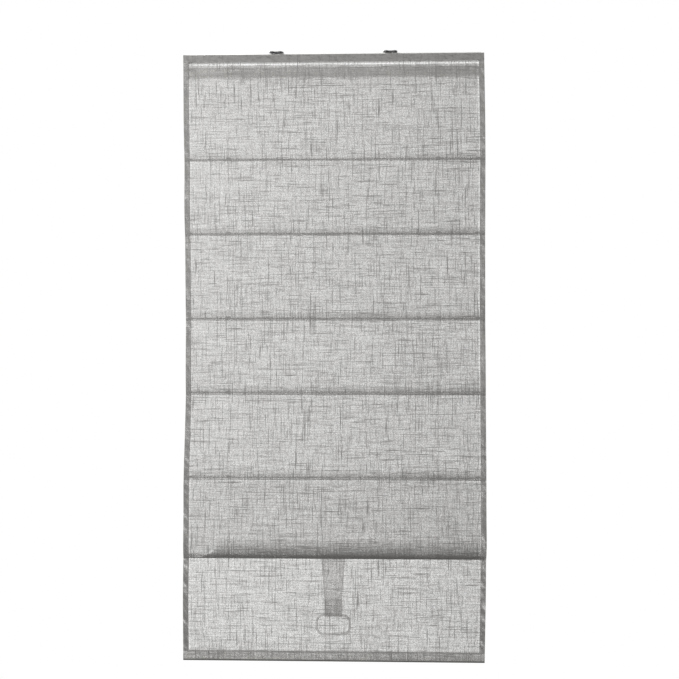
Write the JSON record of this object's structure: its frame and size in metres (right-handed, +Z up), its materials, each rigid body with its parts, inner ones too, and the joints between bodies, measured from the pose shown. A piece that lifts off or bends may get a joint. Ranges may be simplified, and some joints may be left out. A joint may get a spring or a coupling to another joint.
{
  "type": "roman blind",
  "caption": "Cordless roman blind: sheer linen-look cloth with rod pockets, a head rail on swivel brackets, a spring lift tube and a pull ring behind its skirt.",
  "frame": {"origin": "middle of the two bracket screw holes, on the mounting plane above the head rail", "axes": "+Z up, +X along the width to the right as seen from the room, +Y from the room towards the window"},
  "size_m": [0.8, 0.0612, 1.623],
  "materials": {
    "cloth": "sheer grey-beige linen-look weave",
    "strap_webbing": "sheer grey webbing",
    "tape": "white hook and loop tape",
    "cord": "pale translucent nylon cord",
    "rail_aluminium": "white lacquered aluminium",
    "tube_aluminium": "white painted aluminium",
    "bracket_steel": "zinc plated steel",
    "spring_steel": "plain steel",
    "lever_plastic": "black plastic",
    "plug_plastic": "dark grey plastic",
    "white_plastic": "white plastic",
    "clear_plastic": "clear plastic",
    "rod_plastic": "clear glass-fibre rod",
    "ring_plastic": "frosted clear plastic"
  },
  "bodies": {
    "head": {"headrail": "rail_aluminium", "rail_end_left": "white_plastic", "rail_end_right": "white_plastic", "rail_hook_tape": "tape", "hem_loop_tape": "tape", "bracket_left": "bracket_steel", "bracket_right": "bracket_steel", "latch_rivet_left": "bracket_steel", "latch_rivet_right": "bracket_steel", "spring_spindle": "spring_steel", "lift_spring": "spring_steel", "lift_cord_left": "cord", "lift_cord_right": "cord", "face_cloth": "cloth"},
    "lever_left": {"latch_left": "lever_plastic"},
    "lever_right": {"latch_right": "lever_plastic"},
    "tube": {"lift_tube": "tube_aluminium", "idle_plug": "plug_plastic", "bearing_plug": "plug_plastic", "spring_carrier": "plug_plastic", "cord_collar_left": "white_plastic", "cord_collar_right": "white_plastic", "cord_wraps_left": "cord", "cord_wraps_right": "cord"},
    "rod_line_1": {"rod_1": "rod_plastic", "rod_tips_1": "white_plastic", "cord_guides_1": "clear_plastic"},
    "rod_line_2": {"rod_2": "rod_plastic", "rod_tips_2": "white_plastic", "cord_guides_2": "clear_plastic"},
    "rod_line_3": {"rod_3": "rod_plastic", "rod_tips_3": "white_plastic", "cord_guides_3": "clear_plastic"},
    "rod_line_4": {"rod_4": "rod_plastic", "rod_tips_4": "white_plastic", "cord_guides_4": "clear_plastic"},
    "rod_line_5": {"rod_5": "rod_plastic", "rod_tips_5": "white_plastic", "cord_guides_5": "clear_plastic"},
    "lowest_line": {"rod_6": "rod_plastic", "rod_tips_6": "white_plastic", "cord_guides_6": "clear_plastic", "cord_anchors": "clear_plastic", "skirt_cloth": "cloth", "bottom_bar": "tube_aluminium", "bar_cap_left": "white_plastic", "bar_cap_right": "white_plastic", "pull_strap": "strap_webbing"},
    "handle": {"pull_ring": "ring_plastic"}
  },
  "joints": [
    {"name": "lift", "type": "slide", "parent": "head", "child": "lowest_line", "axis": [0, 0, 1], "range_m": [0, 1.1392], "deforming": ["face_cloth", "lift_cord_left", "lift_cord_right"]},
    {"name": "rod_lift_1", "type": "slide", "parent": "head", "child": "rod_line_1", "axis": [0, 0, 1], "range_m": [0, 0.21]},
    {"name": "rod_lift_2", "type": "slide", "parent": "head", "child": "rod_line_2", "axis": [0, 0, 1], "range_m": [0, 0.3843]},
    {"name": "rod_lift_3", "type": "slide", "parent": "head", "child": "rod_line_3", "axis": [0, 0, 1], "range_m": [0, 0.5831]},
    {"name": "rod_lift_4", "type": "slide", "parent": "head", "child": "rod_line_4", "axis": [0, 0, 1], "range_m": [0, 0.7574]},
    {"name": "rod_lift_5", "type": "slide", "parent": "head", "child": "rod_line_5", "axis": [0, 0, 1], "range_m": [0, 0.9563]},
    {"name": "tube_wind", "type": "hinge", "parent": "head", "child": "tube", "pos_m": [0, 0.01196, -0.0515], "axis": [-1, 0, 0], "range_deg": [0, 4353.4]},
    {"name": "ring_swing", "type": "hinge", "parent": "lowest_line", "child": "handle", "pos_m": [0, -0.00269, -1.503], "axis": [1, 0, 0], "range_deg": [0, 120]},
    {"name": "lever_left_turn", "type": "hinge", "parent": "head", "child": "lever_left", "pos_m": [-0.152, -0.0076, 0], "axis": [0, 0, -1], "range_deg": [0, 90]},
    {"name": "lever_right_turn", "type": "hinge", "parent": "head", "child": "lever_right", "pos_m": [0.152, -0.0076, 0], "axis": [0, 0, 1], "range_deg": [0, 90]}
  ],
  "couplings": [
    {"joint": "rod_lift_1", "follows": "lift", "ratio": 0.18347},
    {"joint": "rod_lift_2", "follows": "lift", "ratio": 0.33642},
    {"joint": "rod_lift_3", "follows": "lift", "ratio": 0.51101},
    {"joint": "rod_lift_4", "follows": "lift", "ratio": 0.66396},
    {"joint": "rod_lift_5", "follows": "lift", "ratio": 0.83855},
    {"joint": "tube_wind", "follows": "lift", "rad_per_m": 66.667}
  ]
}
